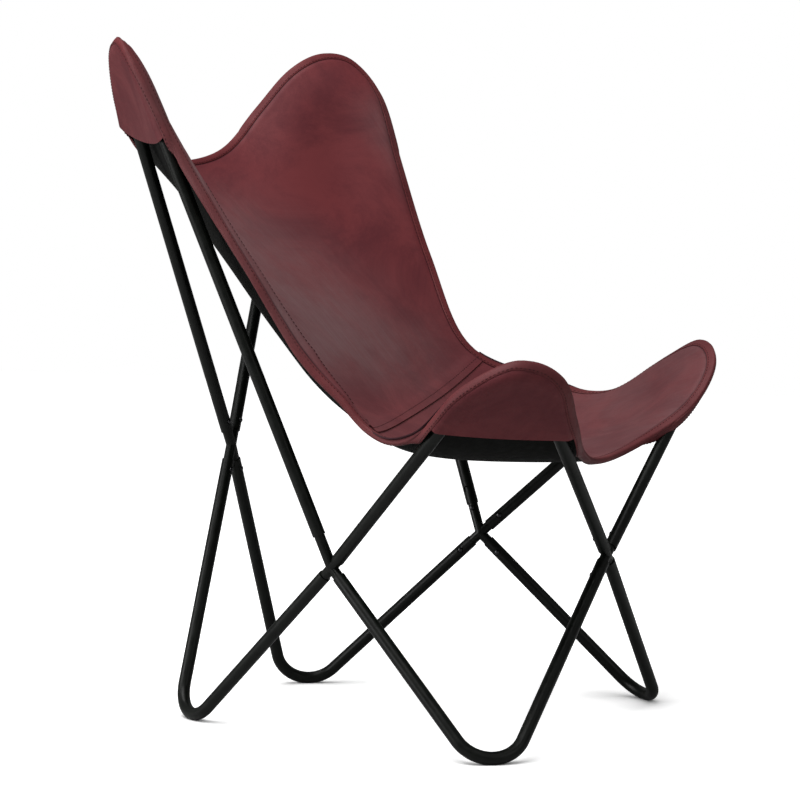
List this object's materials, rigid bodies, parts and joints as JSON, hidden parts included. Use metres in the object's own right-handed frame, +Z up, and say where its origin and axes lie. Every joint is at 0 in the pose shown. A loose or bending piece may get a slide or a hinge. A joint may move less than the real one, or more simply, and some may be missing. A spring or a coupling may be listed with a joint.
{
  "type": "butterfly sling chair",
  "caption": "Low lounge chair: a leather sling with corner pockets hung on the bent tops of a knock-down tube frame, whose tubes plug onto X connectors and lock with sprung snap buttons.",
  "frame": {"origin": "on the floor under the middle of the frame; the box centre is within about 5 mm of it because the sling hangs a little to the right", "axes": "+Z up, -Y the way a sitter faces, +X to the right of a person who stands in front and looks at the chair"},
  "size_m": [0.6652, 0.6755, 0.8677],
  "materials": {
    "frame_coat": "satin black powder coat",
    "connector_coat": "semi-gloss black",
    "button_steel": "dark nickel",
    "spring_steel": "bright",
    "sling_leather": "oxblood pull-up leather, waxed",
    "binding_leather": "oxblood leather, edge folded over",
    "lining_cloth": "black canvas"
  },
  "bodies": {
    "chair": {"back_left_top_tube": "frame_coat", "back_right_top_tube": "frame_coat", "front_left_top_tube": "frame_coat", "front_right_top_tube": "frame_coat", "rear_left_foot_tube": "frame_coat", "rear_right_foot_tube": "frame_coat", "front_left_foot_tube": "frame_coat", "front_right_foot_tube": "frame_coat", "back_connector": "connector_coat", "spring_clip_back_upper_left": "spring_steel", "spring_clip_back_upper_right": "spring_steel", "spring_clip_back_lower_left": "spring_steel", "spring_clip_back_lower_right": "spring_steel", "front_connector": "connector_coat", "spring_clip_front_upper_left": "spring_steel", "spring_clip_front_upper_right": "spring_steel", "spring_clip_front_lower_left": "spring_steel", "spring_clip_front_lower_right": "spring_steel", "left_connector": "connector_coat", "spring_clip_left_upper_back": "spring_steel", "spring_clip_left_upper_front": "spring_steel", "spring_clip_left_lower_back": "spring_steel", "spring_clip_left_lower_front": "spring_steel", "right_connector": "connector_coat", "spring_clip_right_upper_back": "spring_steel", "spring_clip_right_upper_front": "spring_steel", "spring_clip_right_lower_back": "spring_steel", "spring_clip_right_lower_front": "spring_steel", "seat_panel": "sling_leather", "back_panel": "sling_leather", "lining": "lining_cloth", "pocket_back_left": "sling_leather", "pocket_back_right": "sling_leather", "pocket_front_left": "sling_leather", "pocket_front_right": "sling_leather", "edge_binding": "binding_leather"},
    "snap_button_back_upper_left": {"snap_button_back_upper_left": "button_steel"},
    "snap_button_back_upper_right": {"snap_button_back_upper_right": "button_steel"},
    "snap_button_back_lower_left": {"snap_button_back_lower_left": "button_steel"},
    "snap_button_back_lower_right": {"snap_button_back_lower_right": "button_steel"},
    "snap_button_front_upper_left": {"snap_button_front_upper_left": "button_steel"},
    "snap_button_front_upper_right": {"snap_button_front_upper_right": "button_steel"},
    "snap_button_front_lower_left": {"snap_button_front_lower_left": "button_steel"},
    "snap_button_front_lower_right": {"snap_button_front_lower_right": "button_steel"},
    "snap_button_left_upper_back": {"snap_button_left_upper_back": "button_steel"},
    "snap_button_left_upper_front": {"snap_button_left_upper_front": "button_steel"},
    "snap_button_left_lower_back": {"snap_button_left_lower_back": "button_steel"},
    "snap_button_left_lower_front": {"snap_button_left_lower_front": "button_steel"},
    "snap_button_right_upper_back": {"snap_button_right_upper_back": "button_steel"},
    "snap_button_right_upper_front": {"snap_button_right_upper_front": "button_steel"},
    "snap_button_right_lower_back": {"snap_button_right_lower_back": "button_steel"},
    "snap_button_right_lower_front": {"snap_button_right_lower_front": "button_steel"}
  },
  "joints": [
    {"name": "press_back_upper_left", "type": "slide", "parent": "chair", "child": "snap_button_back_upper_left", "axis": [0.0236, 0.9985, -0.0491], "range_m": [0, 0.003], "stiffness_N_per_m": 2500, "deforming": ["spring_clip_back_upper_left"]},
    {"name": "press_back_upper_right", "type": "slide", "parent": "chair", "child": "snap_button_back_upper_right", "axis": [-0.0236, 0.9985, -0.0491], "range_m": [0, 0.003], "stiffness_N_per_m": 2500, "deforming": ["spring_clip_back_upper_right"]},
    {"name": "press_back_lower_left", "type": "slide", "parent": "chair", "child": "snap_button_back_lower_left", "axis": [-0.0033, 1, -0.0079], "range_m": [0, 0.003], "stiffness_N_per_m": 2500, "deforming": ["spring_clip_back_lower_left"]},
    {"name": "press_back_lower_right", "type": "slide", "parent": "chair", "child": "snap_button_back_lower_right", "axis": [0.0033, 1, -0.0079], "range_m": [0, 0.003], "stiffness_N_per_m": 2500, "deforming": ["spring_clip_back_lower_right"]},
    {"name": "press_front_upper_left", "type": "slide", "parent": "chair", "child": "snap_button_front_upper_left", "axis": [0.0498, -0.9979, -0.0404], "range_m": [0, 0.003], "stiffness_N_per_m": 2500, "deforming": ["spring_clip_front_upper_left"]},
    {"name": "press_front_upper_right", "type": "slide", "parent": "chair", "child": "snap_button_front_upper_right", "axis": [-0.0498, -0.9979, -0.0404], "range_m": [0, 0.003], "stiffness_N_per_m": 2500, "deforming": ["spring_clip_front_upper_right"]},
    {"name": "press_front_lower_left", "type": "slide", "parent": "chair", "child": "snap_button_front_lower_left", "axis": [-0.0462, -0.998, -0.0425], "range_m": [0, 0.003], "stiffness_N_per_m": 2500, "deforming": ["spring_clip_front_lower_left"]},
    {"name": "press_front_lower_right", "type": "slide", "parent": "chair", "child": "snap_button_front_lower_right", "axis": [0.0462, -0.998, -0.0425], "range_m": [0, 0.003], "stiffness_N_per_m": 2500, "deforming": ["spring_clip_front_lower_right"]},
    {"name": "press_left_upper_back", "type": "slide", "parent": "chair", "child": "snap_button_left_upper_back", "axis": [-0.9911, -0.0462, -0.1251], "range_m": [0, 0.003], "stiffness_N_per_m": 2500, "deforming": ["spring_clip_left_upper_back"]},
    {"name": "press_left_upper_front", "type": "slide", "parent": "chair", "child": "snap_button_left_upper_front", "axis": [-0.9534, 0.2147, -0.2119], "range_m": [0, 0.003], "stiffness_N_per_m": 2500, "deforming": ["spring_clip_left_upper_front"]},
    {"name": "press_left_lower_back", "type": "slide", "parent": "chair", "child": "snap_button_left_lower_back", "axis": [-0.9858, 0.1208, -0.117], "range_m": [0, 0.003], "stiffness_N_per_m": 2500, "deforming": ["spring_clip_left_lower_back"]},
    {"name": "press_left_lower_front", "type": "slide", "parent": "chair", "child": "snap_button_left_lower_front", "axis": [-0.9869, 0.1141, 0.114], "range_m": [0, 0.003], "stiffness_N_per_m": 2500, "deforming": ["spring_clip_left_lower_front"]},
    {"name": "press_right_upper_back", "type": "slide", "parent": "chair", "child": "snap_button_right_upper_back", "axis": [0.9911, -0.0462, -0.1251], "range_m": [0, 0.003], "stiffness_N_per_m": 2500, "deforming": ["spring_clip_right_upper_back"]},
    {"name": "press_right_upper_front", "type": "slide", "parent": "chair", "child": "snap_button_right_upper_front", "axis": [0.9534, 0.2147, -0.2119], "range_m": [0, 0.003], "stiffness_N_per_m": 2500, "deforming": ["spring_clip_right_upper_front"]},
    {"name": "press_right_lower_back", "type": "slide", "parent": "chair", "child": "snap_button_right_lower_back", "axis": [0.9858, 0.1208, -0.117], "range_m": [0, 0.003], "stiffness_N_per_m": 2500, "deforming": ["spring_clip_right_lower_back"]},
    {"name": "press_right_lower_front", "type": "slide", "parent": "chair", "child": "snap_button_right_lower_front", "axis": [0.9869, 0.1141, 0.114], "range_m": [0, 0.003], "stiffness_N_per_m": 2500, "deforming": ["spring_clip_right_lower_front"]}
  ]
}
